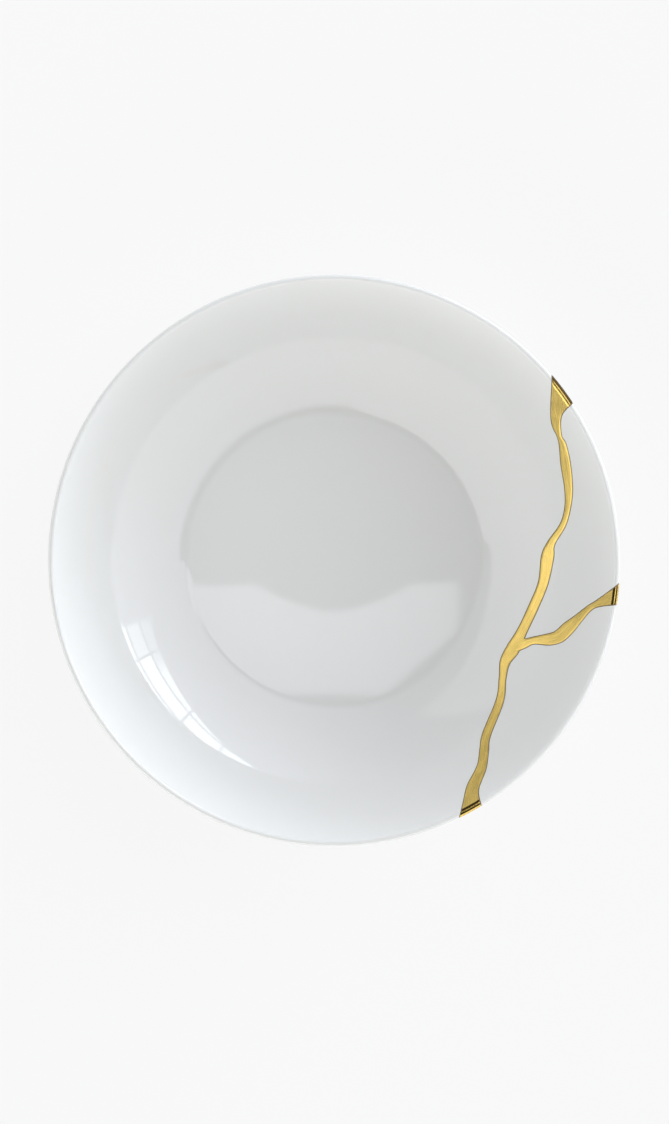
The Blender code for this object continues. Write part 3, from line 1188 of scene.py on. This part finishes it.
def studio_world(scene):
    """Soft light from all round, which the camera itself sees as a plain pale backdrop."""
    stage = scene.bowl_stage
    world = bpy.data.worlds.new("soft_studio")
    scene.world = world
    world.use_nodes = True
    world.node_tree.nodes.clear()
    graph = Graph(world.node_tree)
    shapes = light_shapes(graph)
    total = [0.0, 0.0, 0.0]
    for name, shape in shapes.items():
        strength = getattr(stage, name)
        for channel, tint in enumerate(LIGHT_TINTS.get(name, (1.0, 1.0, 1.0))):
            total[channel] = total[channel] + shape * (strength * tint)
    colour = graph.add("ShaderNodeCombineColor", {}, dict(enumerate(total)))
    back = graph.node("ShaderNodeBackground", sockets={"Color": colour, "Strength": 1.0})
    plain = graph.node("ShaderNodeBackground", sockets={"Color": (1.0, 1.0, 1.0, 1.0), "Strength": BACKDROP})
    seen = graph.add("ShaderNodeLightPath", output="Is Camera Ray")
    mixed = graph.node(
        "ShaderNodeMixShader",
        sockets={0: seen, 1: Value(graph, back.outputs[0]), 2: Value(graph, plain.outputs[0])},
    )
    graph.node("ShaderNodeOutputWorld", sockets={"Surface": Value(graph, mixed.outputs[0])})


class BOWL_OT_stage(bpy.types.Operator):
    """Make the floor, the light and the camera"""

    bl_idname = "bowl.stage"
    bl_label = "Stage"

    def execute(self, context):
        scene = context.scene
        stage, sizes = scene.bowl_stage, scene.bowl_sizes
        half = stage.floor_size
        mesh = bpy.data.meshes.new("floor")
        corners = [(-half, -half, 0.0), (half, -half, 0.0), (half, half, 0.0), (-half, half, 0.0)]
        mesh.from_pydata(corners, [], [(0, 1, 2, 3)])
        mesh.materials.append(floor_material(stage))
        floor = new_object("floor", mesh)
        studio_world(scene)
        scene.view_settings.view_transform = "Standard"
        scene.camera = self.camera(stage, sizes)
        return {"FINISHED"}

    def camera(self, stage, sizes):
        """A camera straight over the bowl, which stands a little off the middle of the picture."""
        data = bpy.data.cameras.new("camera")
        metres_per_pixel = sizes.rim_radius / PHOTO_RIM_RADIUS
        picture_height = PHOTO_HEIGHT * metres_per_pixel
        data.lens = data.sensor_width * stage.camera_height / picture_height
        data.clip_end = 20.0
        camera = new_object("camera", data)
        camera.location = (
            (PHOTO_WIDTH / 2 - PHOTO_BOWL_X) * metres_per_pixel,
            (PHOTO_BOWL_Y - PHOTO_HEIGHT / 2) * metres_per_pixel,
            lip_centre(sizes).y + stage.camera_height,
        )
        return camera


class BOWL_PT_panel(bpy.types.Panel):
    """The sizes, colours and steps of the bowl"""

    bl_idname = "BOWL_PT_panel"
    bl_label = "Kintsugi Bowl"
    bl_space_type = "VIEW_3D"
    bl_region_type = "UI"
    bl_category = "Kintsugi Bowl"

    def draw(self, context):
        for operator in OPERATORS:
            self.layout.operator(operator.bl_idname)
        for name, group in GROUPS.items():
            box = self.layout.box()
            box.label(text=group.__doc__)
            for key in group.__annotations__:
                box.prop(getattr(context.scene, name), key)


OPERATORS = (BOWL_OT_porcelain, BOWL_OT_gold, BOWL_OT_stage)
CLASSES = (*GROUPS.values(), *OPERATORS, BOWL_PT_panel)


def register():
    for made in CLASSES:
        bpy.utils.register_class(made)
    for name, group in GROUPS.items():
        setattr(bpy.types.Scene, name, bpy.props.PointerProperty(type=group))


def unregister():
    for name in GROUPS:
        delattr(bpy.types.Scene, name)
    for made in reversed(CLASSES):
        bpy.utils.unregister_class(made)


def main():
    register()
    bpy.ops.bowl.porcelain()
    bpy.ops.bowl.gold()
    bpy.ops.bowl.stage()
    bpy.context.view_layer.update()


if __name__ == "__main__":
    main()
